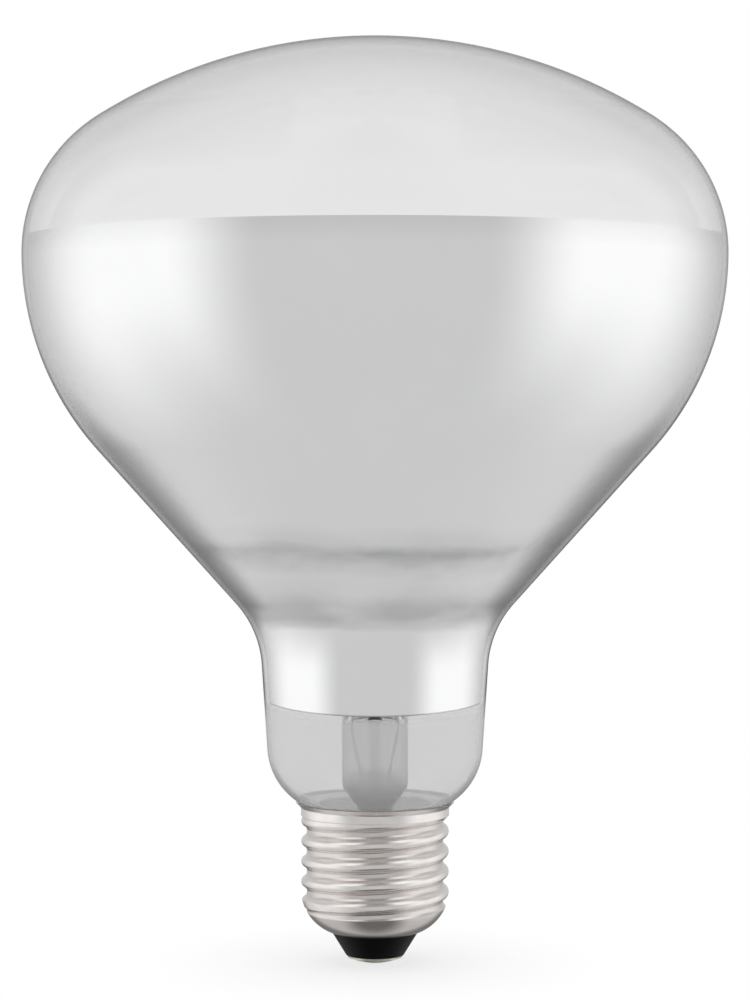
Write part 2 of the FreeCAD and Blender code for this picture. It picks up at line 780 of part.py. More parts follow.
def support_rod(wires):
    """The glass rod on the press, with a button that the support wires are melted into."""
    body = new_body("rod_blank")
    line = Outline(body, "rod_line")
    rod_r = s.rod_diameter / 2
    button_r = s.button_diameter / 2
    low = button_height - s.button_length / 2
    high = button_height + s.button_length / 2
    line.polygon([
        (0, press_top_height),
        (rod_r, press_top_height),
        (rod_r, low),
        (button_r, low, s.button_rounding),
        (button_r, high, s.button_rounding),
        (0, high),
    ])
    turned(body, line, "rod_glass")
    rooted = doc.addObject("Part::MultiFuse", "rooted_wires")
    rooted.Shapes = wires
    rod = doc.addObject("Part::Cut", "support_rod")
    rod.Label = "support_rod"
    rod.Base = body
    rod.Tool = rooted
    doc.recompute()
    return rod


def filament():
    """The wreath of coiled wire, as the round bar that its turns fill."""
    body = new_body("filament")
    line = Outline(body, "filament_line")
    line.circle((ring_radius, s.filament_height), s.filament_coil_diameter / 2)
    wreath = body.newObject("PartDesign::Revolution", "wreath")
    wreath.Profile = line.sketch
    wreath.ReferenceAxis = (line.sketch, ["V_Axis"])
    wreath.setExpression("Angle", s.filament_sweep.text)
    doc.recompute()
    body.Placement = Placement(Vector(), Rotation(Vector(0, 0, 1), wreath_start()))
    return body


def wreath_start():
    """Bearing of the wreath's right end, with the gap between its ends at the front."""
    return 90 - s.filament_sweep.value / 2


def filament_support(number):
    """A wire from the button to the filament, with a loop that the filament passes through."""
    body = new_body(f"filament_support_{number}")
    wire_r = s.support_wire_diameter / 2
    path = Outline(body, f"support_path_{number}")
    start = Vector(s.support_root_radius.value, button_height.value)
    foot = Vector(ring_radius.value, button_height.value)
    centre = Vector(ring_radius.value, s.filament_height.value)
    turn = math.radians(s.support_loop_turn.value - 90)
    tip = centre + Vector(math.cos(turn), math.sin(turn)) * loop_radius.value
    run = path.line(start, foot)
    loop = path.arc(centre, foot, tip)
    path.place(run, 1, s.support_root_radius, button_height)
    path.tie("Tangent", run, 2, loop, 1)
    path.place(loop, 3, ring_radius, s.filament_height)
    path.bind("DistanceY", (-1, 1, run, 2), button_height)
    reach = cosine(s.support_loop_turn - 90) * loop_radius
    path.bind("DistanceX", (-1, 1, loop, 2), ring_radius + reach)
    section = Outline(body, f"support_section_{number}", "YZ_Plane", s.support_root_radius)
    section.circle((formula(0), button_height), wire_r)
    add_feature(body, "AdditivePipe", section, f"support_wire_{number}", Spine=(path.sketch, []))
    bearing = wreath_start() + s.filament_sweep.value * number / (SUPPORT_COUNT + 1)
    body.Placement = Placement(Vector(), Rotation(Vector(0, 0, 1), bearing))
    return body


def bent_wire(label, points, diameter, bend):
    """A round wire along straight runs joined by arcs."""
    edges = []
    start = points[0]
    for before, corner, after in zip(points, points[1:], points[2:]):
        enter, leave, centre, _ = rounded_corner(before, corner, after, bend)
        middle = centre + (corner - centre).normalize() * bend
        edges.append(Part.LineSegment(start, enter).toShape())
        edges.append(Part.Arc(enter, middle, leave).toShape())
        start = leave
    edges.append(Part.LineSegment(start, points[-1]).toShape())
    route = Part.Wire(edges)
    section = Part.Wire([Part.Circle(points[0], points[1] - points[0], diameter / 2).toShape()])
    solid = route.makePipeShell([section], True, True)
    expected = math.pi * diameter**2 / 4 * route.Length
    if abs(solid.Volume - expected) > 0.02 * expected:
        raise RuntimeError(f"{label} does not fill its route")
    wire = doc.addObject("Part::Feature", label)
    wire.Label = label
    wire.Shape = solid
    wire.Placement = Placement()
    return wire


def outer_lead_centre():
    """The wire from the press down the stem and through the eyelet to the contact."""
    away = s.outer_lead_waist_offset.value
    points = [
        Vector(lead_offset.value, 0, s.lead_joint_height.value),
        Vector(lead_offset.value, 0, lead_lean_height.value),
        Vector(away, 0, lead_waist_height.value),
        Vector(away, 0, (s.exhaust_tip_height + s.outer_lead_tip_rise).value),
        Vector(0, 0, (s.exhaust_tip_height - s.outer_lead_tip_drop).value),
        Vector(0, 0, contact_foot_height.value / 2),
    ]
    return bent_wire("outer_lead_centre", points, s.outer_lead_diameter.value, s.outer_lead_bend.value)


def outer_lead_side():
    """The wire from the press round the end of the neck and up to the inside of the collar, at the back."""
    away = s.outer_lead_waist_offset.value
    low = (neck_end_height - s.side_lead_drop).value
    gap = ((neck_end_radius + bore_radius) / 2).value
    touch = (collar_bore_radius - s.side_lead_clearance - s.outer_lead_diameter / 2).value
    points = [
        Vector(-lead_offset.value, 0, s.lead_joint_height.value),
        Vector(-lead_offset.value, 0, lead_lean_height.value),
        Vector(-away, 0, lead_waist_height.value),
        Vector(-away, 0, low),
        Vector(0, gap, low),
        Vector(0, gap, (collar_bore_height - collar_slope).value),
        Vector(0, touch, (collar_bore_height + collar_slope / 2).value),
        Vector(0, touch, lip_bore_height.value),
    ]
    bend = s.outer_lead_diameter.value * 2
    return bent_wire("outer_lead_side", points, s.outer_lead_diameter.value, bend)


def inner_lead(label, side):
    """The stiff wire from the press out to one end of the filament, 1 for the right and -1 for the left."""
    radius = s.inner_lead_diameter.value / 2
    bearing = math.radians(wreath_start())
    end = Vector(math.cos(bearing), math.sin(bearing)) * ring_radius.value
    end = end + Vector(math.sin(bearing), -math.cos(bearing)) * radius
    tip = s.filament_height.value + s.filament_coil_diameter.value / 2 + s.inner_lead_overlap.value
    points = [
        Vector(side * lead_offset.value, 0, s.lead_joint_height.value),
        Vector(side * lead_offset.value, 0, s.inner_lead_spread_height.value),
        Vector(side * end.x, end.y, s.filament_height.value - s.inner_lead_rise.value),
        Vector(side * end.x, end.y, tip),
    ]
    return bent_wire(label, points, s.inner_lead_diameter.value, s.inner_lead_bend.value)


def basing_cement(lead):
    """The ring of cement between the neck's end and the shell, with the side lead set in it."""
    body = new_body("cement_blank")
    line = Outline(body, "cement_line")
    high = collar_bore_height - collar_slope - s.cement_drop
    low = high - s.cement_length
    line.polygon([(neck_end_radius, low), (bore_radius, low), (bore_radius, high), (neck_end_radius, high)])
    turned(body, line, "cement_ring")
    ring = doc.addObject("Part::Cut", "basing_cement")
    ring.Label = "basing_cement"
    ring.Base = body
    ring.Tool = lead
    doc.recompute()
    return ring


def build():
    supports = [filament_support(number) for number in range(1, SUPPORT_COUNT + 1)]
    side_lead = outer_lead_side()
    return [
        glass_envelope(),
        reflector_coating(),
        screw_shell(),
        insulator(),
        centre_contact(),
        contact_solder(),
        basing_cement(side_lead),
        glass_stem(),
        exhaust_tube(),
        outer_lead_centre(),
        side_lead,
        inner_lead("inner_lead_left", -1),
        inner_lead("inner_lead_right", 1),
        support_rod(supports),
        filament(),
    ] + supports


def check(nodes):
    for item in doc.Objects:
        if "Invalid" in item.State or "Error" in item.State:
            raise RuntimeError(f"{item.Name} failed to build: {item.State}")
    for node in nodes:
        if node.Shape.isNull() or not node.Shape.isValid():
            raise RuntimeError(f"{node.Label} has no valid shape")
        if len(node.Shape.Solids) != 1:
            raise RuntimeError(f"{node.Label} has {len(node.Shape.Solids)} solids")


nodes = build()
doc.recompute()
check(nodes)
os.makedirs("parts", exist_ok=True)
for node in nodes:
    node.Shape.exportStep(f"parts/{node.Label}.step")
    print(node.Label, round(node.Shape.Volume, 2))
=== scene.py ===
import math

import bpy
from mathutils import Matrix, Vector


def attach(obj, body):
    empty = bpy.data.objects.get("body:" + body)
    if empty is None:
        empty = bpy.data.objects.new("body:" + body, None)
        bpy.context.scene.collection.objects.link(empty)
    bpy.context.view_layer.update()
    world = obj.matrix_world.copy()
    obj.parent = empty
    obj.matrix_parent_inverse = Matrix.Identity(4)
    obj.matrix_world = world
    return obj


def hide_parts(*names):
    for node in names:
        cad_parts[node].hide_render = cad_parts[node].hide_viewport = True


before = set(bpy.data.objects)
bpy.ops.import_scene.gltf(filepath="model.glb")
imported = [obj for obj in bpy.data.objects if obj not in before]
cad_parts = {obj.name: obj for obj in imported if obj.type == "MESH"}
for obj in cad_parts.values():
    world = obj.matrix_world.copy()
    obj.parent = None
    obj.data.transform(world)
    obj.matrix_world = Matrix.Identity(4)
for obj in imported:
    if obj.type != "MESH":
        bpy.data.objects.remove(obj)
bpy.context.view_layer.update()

# Sizes are in millimetres, heights from the tip of the contact, and meshes in metres.
MM = 0.001
SEGMENTS = 192

# The blown bulb
APEX_HEIGHT = 164.4
BULB_RADIUS = 62.5
WIDEST_HEIGHT = 126.2
SHOULDER_RADIUS = 28.2
SIDE_RADIUS = 52.0
CONE_ANGLE = 41.8
THROAT_RADIUS = 18.3
NECK_RADIUS = 19.25
NECK_TAPER = 3.7
FOOT_RADIUS = 12.0
NECK_END_RADIUS = 11.0
NECK_END_HEIGHT = 19.4
CAP_LENGTH = 28.6
NECK_SINK = 1.2
GLASS_WALL = 0.8
GLASS_IOR = 1.2
# Below these heights the glass of the neck and of the stem is fused and set in cement
FOOT_HEIGHT = 28.7
STEM_FOOT_HEIGHT = 26.5
# The stem is cloudy from the lower of these heights and clear from the upper
CLOUDY_HEIGHT = 28.5
CLEAR_HEIGHT = 34.5

# The mirror film, set just off the glass so that the two faces never coincide
FILM_GAP = 0.03
FILM_THICKNESS = 0.12
FILM_TOP = 129.0
FILM_BOTTOM = 47.2
FILM_SLOPE = math.tan(math.radians(4.4))
FILM_LEVEL_FROM = 53.0
CLEAR_NECK_TOP = 46.0
# Slope and waviness of the painted shade bands on the film's cone
SHADE_BAND_SLOPE = 0.3 * FILM_SLOPE
SHADE_BAND_WAVE = 2.0

# The stem: flare, waist, shoulder, tube and press
STEM_RADIUS = 5.9
STEM_WALL = 0.9
FLARE_RADIUS = 10.2
FLARE_RIM = 1.4
FLARE_RIM_INSIDE = 1.0
WAIST_RADIUS = 3.1
WAIST_HEIGHT = 27.0
WAIST_ROUND = 0.9
WAIST_SPREAD = 0.5
WAIST_BORE_HALF = 0.8
SHOULDER_ROUND = 2.0
SHOULDER_RISE = 4.9
HOLLOW_SHOULDER_ROUND = 1.5
HOLLOW_SHOULDER_RISE = 5.2
HOLLOW_ROUND = 3.0
STEM_HOLLOW_TOP = 45.0
PINCH_FROM = STEM_HOLLOW_TOP - 0.5
PINCH_LENGTH = 5.5
PRESS_TOP = 53.4
PRESS_HALF = 2.5
PRESS_ROUND = 0.8

# The exhaust tube in the stem, sealed at its tip and open at its mouth
EXHAUST_RADIUS = 1.15
EXHAUST_BORE = 0.55
EXHAUST_MOUTH = 1.5
EXHAUST_MOUTH_LENGTH = 1.5
EXHAUST_TIP = 12.0
EXHAUST_TIP_ROUND = 0.6
EXHAUST_TIP_LENGTH = 2.0
EXHAUST_GAP = 0.05

# The rod on the press, with its button
ROD_RADIUS = 1.6
ROD_GAP = 0.02
BUTTON_RADIUS = 3.2
BUTTON_HEIGHT = 99.1
BUTTON_HALF = 2.0
BUTTON_INSET = 1.8
BUTTON_ROUND = 1.9
BUTTON_NECK = 0.5

# The filament's wreath
FILAMENT_HEIGHT = 100.0
FILAMENT_RING = 16.0
FILAMENT_COIL = 0.6
FILAMENT_SWEEP = 270.0
FILAMENT_WIRE = 0.09
FILAMENT_TURNS = 190
STEPS_PER_TURN = 12
WIRE_SIDES = 5

# The camera of the photograph
EYE_DISTANCE = 517.3
EYE_HEIGHT = 96.85
AIM_HEIGHT = 82.6
FRAME_HEIGHT = 178.4
SENSOR_HEIGHT = 24.0

# The studio as the mirror shows it: bearings from the front in radians, heights as sines, levels of light
ROOM_LEVEL = 0.67
BOX_LEVEL = 1.12
BOX_NEAR = (0.61, 1.26)
BOX_FAR = (1.75, 2.65)
BOX_FOOT = (-0.98, -0.12)
DARK_LEVEL = 0.22
DARK_AIM = (0.0, 0.866, -0.5)
DARK_REACH = (0.79, 0.96)
DARK_TOP = (-0.31, -0.05)
HIGH_FROM = (0.27, 0.45)
HIGH_LEVEL = 0.40
HIGH_BOX_LEVEL = 1.15
HIGH_SIDE_LEVEL = 0.70
HIGH_NEAR = (0.25, 0.75)
HIGH_FAR = (1.15, 1.75)

# The floor, with the lamp's shadow and a painted shade spot before the cap: a dark patch that only
# reflections show
FLOOR_DROP = 0.2
FLOOR_FIRST_RING = 2.0
FLOOR_RING_GROWTH = 1.2
FLOOR_RINGS = 24
SHADOW_REACH = (6.0, 45.0)
SHADOW_SHARE = 0.3
SHADE_SPOT_PLACE = (0.0, -18.0, 0.0)
SHADE_SPOT_REACH = (6.0, 15.0)
SHADE_SPOT_LEVEL = 0.2


# Lines and meshes

def arc(centre, radius, start, end, step=1.5):
    """Points (r, z) along an arc, with angles in degrees from the horizontal."""
    count = max(2, math.ceil(abs(end - start) / step))
    angles = [math.radians(start + (end - start) * i / count) for i in range(count + 1)]
    return [(centre[0] + radius * math.cos(a), centre[1] + radius * math.sin(a)) for a in angles]


def bulb_line(inset):
    """The glass line from the foot of the neck to the apex, at a depth below the outer face."""
    alpha = math.radians(CONE_ANGLE)
    taper = math.radians(NECK_TAPER)
    cone_out = Vector((math.cos(alpha), -math.sin(alpha)))
    neck_out = Vector((math.cos(taper), -math.sin(taper)))
    foot_r = NECK_RADIUS - FOOT_RADIUS * math.cos(taper)
    foot_z = CAP_LENGTH - NECK_SINK + math.sqrt(FOOT_RADIUS**2 - (NECK_END_RADIUS - foot_r) ** 2)
    side_r = BULB_RADIUS - SIDE_RADIUS
    shoulder_r = BULB_RADIUS - SHOULDER_RADIUS
    neck_low = Vector((foot_r, foot_z)) + neck_out * (FOOT_RADIUS - inset)
    cone_high = Vector((side_r, WIDEST_HEIGHT)) + cone_out * (SIDE_RADIUS - inset)
    # The throat's arc touches both the cone and the neck
    throat = THROAT_RADIUS + inset
    cone_push = cone_out.dot(cone_high) + throat
    neck_push = neck_out.dot(neck_low) + throat
    spread = cone_out.x * neck_out.y - cone_out.y * neck_out.x
    throat_r = (cone_push * neck_out.y - neck_push * cone_out.y) / spread
    throat_z = (cone_out.x * neck_push - neck_out.x * cone_push) / spread
    # The dome's arc runs from the shoulder to the apex
    rise = APEX_HEIGHT - WIDEST_HEIGHT
    dome = (shoulder_r**2 + rise**2 - SHOULDER_RADIUS**2) / (2 * rise - 2 * SHOULDER_RADIUS)
    dome_z = APEX_HEIGHT - dome
    brow = math.degrees(math.atan2(WIDEST_HEIGHT - dome_z, shoulder_r))

    end_r = NECK_END_RADIUS - inset
    foot_start = -math.degrees(math.acos((end_r - foot_r) / (FOOT_RADIUS - inset)))
    line = [(end_r, NECK_END_HEIGHT)]
    line += arc((foot_r, foot_z), FOOT_RADIUS - inset, foot_start, -NECK_TAPER)
    line += arc((throat_r, throat_z), throat, 180 - NECK_TAPER, 180 - CONE_ANGLE)
    line += arc((side_r, WIDEST_HEIGHT), SIDE_RADIUS - inset, -CONE_ANGLE, 0)
    line += arc((shoulder_r, WIDEST_HEIGHT), SHOULDER_RADIUS - inset, 0, brow)[1:]
    line += arc((0, dome_z), dome - inset, brow, 90)[1:]
    line[-1] = (0.0, line[-1][1])
    return divided(line)


def divided(line, longest=2.0):
    """The same line with its long straight runs cut into short ones."""
    out = [line[0]]
    for (r0, z0), (r1, z1) in zip(line, line[1:]):
        count = max(1, math.ceil(math.hypot(r1 - r0, z1 - z0) / longest))
        out += [(r0 + (r1 - r0) * i / count, z0 + (z1 - z0) * i / count) for i in range(1, count + 1)]
    return out


def clipped(line, low, high):
    """The part of an upward line between two heights, with its ends on those heights."""
    out = []
    for (r0, z0), (r1, z1) in zip(line, line[1:]):
        for height in (low, high):
            if z0 < height < z1:
                share = (height - z0) / (z1 - z0)
                out.append((r0 + (r1 - r0) * share, height))
        if low < z1 < high:
            out.append((r1, z1))
    return sorted(out, key=lambda point: point[1])


def round_point(r, z, turn):
    return r * math.cos(turn), r * math.sin(turn), z


def turned(name, loop, closed=True, place=round_point, segments=SEGMENTS):
    """A mesh turned about the axis from a loop of (r, z). place gives the point for r, z and the turn."""
    verts = []
    rings = []
    for r, z in loop:
        if r < 1e-6:
            rings.append([len(verts)])
            verts.append((0, 0, z * MM))
            continue
        rings.append(list(range(len(verts), len(verts) + segments)))
        for i in range(segments):
            verts.append(Vector(place(r, z, 2 * math.pi * i / segments)) * MM)
    pairs = list(zip(rings, rings[1:]))
    if closed:
        pairs.append((rings[-1], rings[0]))
    faces = []
    for low, high in pairs:
        faces += ring_faces(low, high)
    return new_piece(name, verts, faces)


def ring_faces(low, high):
    """Faces between two rings, either of which may be a point on the axis."""
    if len(low) == 1 and len(high) == 1:
        return []
    count = max(len(low), len(high))
    faces = []
    for i in range(count):
        j = (i + 1) % count
        if len(low) == 1:
            faces.append((low[0], high[j], high[i]))
        elif len(high) == 1:
            faces.append((low[i], low[j], high[0]))
        else:
            faces.append((low[i], low[j], high[j], high[i]))
    return faces


def round_wire(name, path, radius, sides):
    """A wire along a path, with flat ends."""
    verts = []
    faces = []
    for i, point in enumerate(path):
        ahead = (path[min(i + 1, len(path) - 1)] - path[max(i - 1, 0)]).normalized()
        across = ahead.cross(Vector((0, 0, 1))).normalized()
        up = across.cross(ahead)
        for k in range(sides):
            turn = 2 * math.pi * k / sides
            verts.append((point + across * radius * math.cos(turn) + up * radius * math.sin(turn)) * MM)
    for i in range(len(path) - 1):
        for k in range(sides):
            m = (k + 1) % sides
            faces.append((i * sides + k, i * sides + m, (i + 1) * sides + m, (i + 1) * sides + k))
    last = (len(path) - 1) * sides
    faces.append(tuple(range(sides))[::-1])
    faces.append(tuple(range(last, last + sides)))
    return new_piece(name, verts, faces, crease=80)


def new_piece(name, verts, faces, crease=35):
    mesh = bpy.data.meshes.new(name)
    mesh.from_pydata(verts, [], faces)
    mesh.update()
    mesh.shade_smooth()
    mesh.set_sharp_from_angle(angle=math.radians(crease))
    piece = bpy.data.objects.new(name, mesh)
    bpy.context.scene.collection.objects.link(piece)
    return piece


def dress(piece, node, material):
    """Let a piece stand for a CAD node, on the lamp's one body."""
    piece.data.materials.append(material)
    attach(piece, "root")
    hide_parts(node)


def finish_node(node, material):
    """Give a CAD node its finish."""
    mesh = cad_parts[node].data
    mesh.materials.clear()
    mesh.materials.append(material)


# Shader nodes

def rgba(colour):
    """A colour, or a grey from its level, with its alpha."""
    return (*colour, 1) if isinstance(colour, tuple) else (colour, colour, colour, 1)


class Wiring:
    """Helpers that add nodes to one tree and join them."""

    def __init__(self, tree):
        self.nodes = tree.nodes
        self.links = tree.links

    def add(self, kind, **settings):
        node = self.nodes.new("ShaderNode" + kind)
        for name, value in settings.items():
            setattr(node, name, value)
        return node

    def join(self, value, socket):
        """Give a socket a fixed value or another node's output."""
        if hasattr(value, "links"):
            self.links.new(value, socket)
        else:
            socket.default_value = value

    def calc(self, operation, first, second=0.0):
        node = self.add("Math", operation=operation)
        self.join(first, node.inputs[0])
        self.join(second, node.inputs[1])
        return node.outputs["Value"]

    def measure(self, operation, first, second=(0, 0, 0)):
        """A number from vectors, such as a length, a distance or a dot product."""
        node = self.add("VectorMath", operation=operation)
        self.join(first, node.inputs[0])
        self.join(second, node.inputs[1])
        return node.outputs["Value"]

    def spread(self, source, low, high, start=0.0, end=1.0, curve="LINEAR"):
        """A value taken from the range low to high to the range start to end."""
        node = self.add("MapRange", interpolation_type=curve)
        self.join(source, node.inputs["Value"])
        node.inputs["From Min"].default_value = low
        node.inputs["From Max"].default_value = high
        node.inputs["To Min"].default_value = start
        node.inputs["To Max"].default_value = end
        return node.outputs["Result"]

    def step(self, source, low, high, start, end):
        """The same, with a soft start and end."""
        return self.spread(source, low, high, start, end, "SMOOTHSTEP")

    def towards(self, first, second, share):
        """The first level taken towards the second by a share."""
        return self.calc("ADD", first, self.calc("MULTIPLY", share, self.calc("SUBTRACT", second, first)))

    def blend(self, share, first, second):
        """Two surfaces mixed, the second by its share."""
        node = self.add("MixShader")
        self.join(share, node.inputs["Fac"])
        self.links.new(first, node.inputs[1])
        self.links.new(second, node.inputs[2])
        return node.outputs["Shader"]

    def rays(self, kind):
        return self.add("LightPath").outputs[kind]


class Shader(Wiring):
    """A material with one principled shader and helpers that wire detail into it."""

    def __init__(self, name):
        self.material = bpy.data.materials.new(name)
        self.material.use_nodes = True
        super().__init__(self.material.node_tree)
        self.bsdf = self.nodes["Principled BSDF"]
        self.place = self.add("TexCoord").outputs["Object"]

    def give(self, socket, value):
        self.join(value, self.bsdf.inputs[socket])

    def noise(self, scale, detail=4.0, stretch=(1, 1, 1)):
        mapping = self.add("Mapping")
        mapping.inputs["Scale"].default_value = stretch
        self.links.new(self.place, mapping.inputs["Vector"])
        noise = self.add("TexNoise")
        noise.inputs["Scale"].default_value = scale
        noise.inputs["Detail"].default_value = detail
        self.links.new(mapping.outputs["Vector"], noise.inputs["Vector"])
        return noise.outputs["Fac"]

    def height(self, slope=0.0):
        """Height above the contact, or above a plane through it that falls towards the front by a slope."""
        return self.measure("DOT_PRODUCT", self.place, (0, -slope, 1))

    def reach(self):
        """Distance from the lamp's axis."""
        flat = self.add("VectorMath", operation="MULTIPLY")
        flat.inputs[1].default_value = (1, 1, 0)
        self.links.new(self.place, flat.inputs[0])
        return self.measure("LENGTH", flat.outputs["Vector"])

    def ramp(self, source, stops):
        """Colours or greys along a value from 0 to 1."""
        ramp = self.add("ValToRGB")
        elements = ramp.color_ramp.elements
        while len(elements) < len(stops):
            elements.new(0.5)
        for element, (position, colour) in zip(elements, stops):
            element.position = position
            element.color = rgba(colour)
        self.links.new(source, ramp.inputs["Fac"])
        return ramp.outputs["Color"]

    def along(self, distance, stops):
        """Colours or greys along a distance, each with its place in millimetres."""
        low = stops[0][0]
        high = stops[-1][0]
        shares = [((place - low) / (high - low), colour) for place, colour in stops]
        return self.ramp(self.spread(distance, low * MM, high * MM), shares)

    def mottle(self, scale, dark, light, detail=4.0, stretch=(1, 1, 1)):
        """Two tones in soft patches."""
        return self.ramp(self.noise(scale, detail, stretch), [(0.3, dark), (0.7, light)])

    def product(self, first, second, share=1.0):
        """The first colour times the second, by a share."""
        mix = self.add("Mix", data_type="RGBA", blend_type="MULTIPLY")
        self.join(share, mix.inputs["Factor"])
        self.links.new(first, mix.inputs["A"])
        self.links.new(second, mix.inputs["B"])
        return mix.outputs["Result"]

    def bump(self, source, strength, distance):
        bump = self.add("Bump")
        self.join(strength, bump.inputs["Strength"])
        bump.inputs["Distance"].default_value = distance * MM
        self.links.new(source, bump.inputs["Height"])
        self.give("Normal", bump.outputs["Normal"])

    def overlay(self, share, other):
        """Lay another surface over what there is, by a share that varies."""
        surface = self.nodes["Material Output"].inputs["Surface"]
        under = surface.links[0].from_socket
        self.links.new(self.blend(share, under, other.outputs["BSDF"]), surface)

    def let_light_in(self):
        """The glass casts no shadow of its own on what is behind it."""
        self.overlay(self.rays("Is Shadow Ray"), self.add("BsdfTransparent"))

    def paint_edge_shade(self, level, edge_shade_amount, nearness):
        """Painted shade: a dark matt layer laid over the glass where it is seen edge on, and over a wider
        angle where it is narrow.
        """
        dark = self.add("BsdfDiffuse")
        dark.inputs["Color"].default_value = rgba(level)
        facing = self.add("LayerWeight").outputs["Facing"]
        stops = [(0.80, 0.0), (0.87, 0.3), (0.92, 0.8), (1.0, 1.0)]
        edge = self.ramp(self.calc("ADD", facing, nearness), stops)
        self.overlay(self.product(edge, edge_shade_amount), dark)


# Materials

def envelope_glass(name, outside):
    """Greyish where it is clear, and clear where the mirror film is behind it."""
    shader = Shader(name)
    shader.give("Roughness", 0.0)
    shader.give("IOR", GLASS_IOR)
    over_film = shader.height(FILM_SLOPE)
    height = shader.height()
    neck = shader.along(over_film, [
        (CLEAR_NECK_TOP, (0.815, 0.817, 0.816)),
        (FILM_BOTTOM, (0.95, 0.952, 0.951)),
    ])
    dome = shader.along(height, [(125.0, 1.0), (130.0, 0.935)])
    shader.give("Base Color", shader.product(neck, dome))
    # A thin haze from the silvering lies on the outside of the clear neck
    haze = 0.70 if outside else 1.0
    shader.give("Transmission Weight", shader.along(over_film, [(CLEAR_NECK_TOP, haze), (FILM_BOTTOM, 1.0)]))
    shader.bump(shader.noise(22.0, 2.0), 0.02, 0.4)
    # On the outside, painted shade along the outline of the glass, strongest over the film and wider low on
    # the neck
    if outside:
        edge_shade_amount = shader.along(height, [(43.3, 0.3), (48.4, 1.0), (99.4, 1.0), (117.76, 0.6)])
        nearness = shader.along(height, [(50.2, 0.06), (65.0, 0.0)])
        shader.paint_edge_shade(0.12, edge_shade_amount, nearness)
    shader.let_light_in()
    return shader.material


def sealed_glass():
    """The end of the neck and the flare, fused together and set in pale cement."""
    shader = Shader("sealed_glass")
    shader.give("IOR", GLASS_IOR)
    shader.give("Base Color", shader.mottle(900.0, (0.92, 0.92, 0.91), (0.97, 0.97, 0.965)))
    shader.give("Roughness", shader.mottle(300.0, 0.3, 0.45))
    shader.bump(shader.noise(900.0), 0.1, 0.05)
    return shader.material


def stem_glass():
    """Grey glass, darker towards its foot, and cloudy with seeds and specks there."""
    shader = Shader("stem_glass")
    shader.give("IOR", GLASS_IOR)
    height = shader.height()
    tint = shader.along(height, [(CLOUDY_HEIGHT, 0.26), (31.5, 0.62), (CLEAR_HEIGHT, 0.79)])
    specks = shader.ramp(shader.noise(2200.0, 2.0), [(0.42, 0.35), (0.55, 1.0)])
    low = shader.along(height, [(29.0, 1.0), (35.0, 0.0)])
    shader.give("Base Color", shader.product(tint, specks, low))
    shader.give("Transmission Weight", shader.along(height, [(CLOUDY_HEIGHT, 0.35), (CLEAR_HEIGHT, 1.0)]))
    shader.give("Roughness", shader.along(height, [(CLOUDY_HEIGHT, 0.25), (CLEAR_HEIGHT, 0.0)]))
    shader.bump(shader.noise(120.0, 2.0), 0.06, 0.3)
    shader.let_light_in()
    return shader.material


def tube_glass():
    shader = Shader("tube_glass")
    shader.give("Roughness", 0.0)
    shader.give("IOR", GLASS_IOR)
    shader.give("Transmission Weight", 1.0)
    shader.give("Base Color", shader.mottle(300.0, 0.96, 0.99, 3.0))
    shader.bump(shader.noise(120.0, 2.0), 0.06, 0.3)
    shader.let_light_in()
    return shader.material


def mirror_film():
    """Bright film with painted shade in two dark bands low on the cone, darker along its lower edge, and
    finely creased above the bands.
    """
    shader = Shader("mirror_film")
    shader.give("Metallic", 1.0)
    cloud = shader.mottle(35.0, (0.93, 0.935, 0.933), (0.96, 0.962, 0.96))
    shade_band_wave = shader.spread(shader.noise(45.0, 3.0), 0.0, 1.0, -SHADE_BAND_WAVE * MM, SHADE_BAND_WAVE * MM)
    # Painted shade: two dark wavy bands low on the cone, patchy along their length
    painted_shade_bands = shader.along(shader.calc("ADD", shader.height(SHADE_BAND_SLOPE), shade_band_wave), [
        (60.80, 1.0),
        (61.77, 0.80),
        (63.13, 0.68),
        (65.65, 0.72),
        (68.17, 0.90),
        (70.89, 0.94),
        (73.99, 0.74),
        (75.54, 0.62),
        (77.10, 0.88),
        (80.20, 1.0),
    ])
    shade_band_patches = shader.ramp(shader.noise(75.0, 3.0, (1, 1, 2)), [(0.38, 0.35), (0.62, 1.0)])
    edge = shader.along(shader.height(FILM_SLOPE), [(FILM_BOTTOM, 0.4), (47.35, 0.6), (47.5, 1.0)])
    shader.give("Base Color", shader.product(shader.product(cloud, painted_shade_bands, shade_band_patches), edge))
    shader.give("Roughness", shader.mottle(60.0, 0.05, 0.08))
    creased = shader.along(shader.height(), [(60.0, 0.0), (73.5, 0.10), (87.0, 0.10), (105.0, 0.0)])
    shader.bump(shader.noise(420.0, 3.0, (1, 1, 0.6)), creased, 0.2)
    return shader.material


def nickel():
    """Plated sheet with a faint grain round the thread, darker in its grooves, partly tarnish and partly
    painted shade.
    """
    shader = Shader("nickelled_sheet")
    shader.give("Metallic", 1.0)
    cloud = shader.mottle(260.0, (0.74, 0.705, 0.685), (0.81, 0.78, 0.76), 5.0, (1, 1, 3))
    # Darker towards the grooves of the thread: partly tarnish, partly painted shade
    groove_tarnish_and_shade = shader.along(shader.reach(), [(12.1, (0.84, 0.82, 0.81)), (12.76, 1.0)])
    shader.give("Base Color", shader.product(cloud, groove_tarnish_and_shade))
    shader.give("Roughness", shader.mottle(400.0, 0.11, 0.17, 5.0, (1, 1, 6)))
    shader.bump(shader.noise(500.0, 3.0, (1, 1, 6)), 0.04, 0.03)
    return shader.material


def black_glass():
    shader = Shader("black_glass")
    shader.give("Roughness", 0.3)
    shader.give("IOR", 1.4)
    shader.give("Specular IOR Level", 0.08)
    shader.give("Base Color", shader.mottle(300.0, (0.0008, 0.0008, 0.001), (0.003, 0.003, 0.004)))
    shader.bump(shader.noise(400.0, 3.0), 0.15, 0.1)
    return shader.material


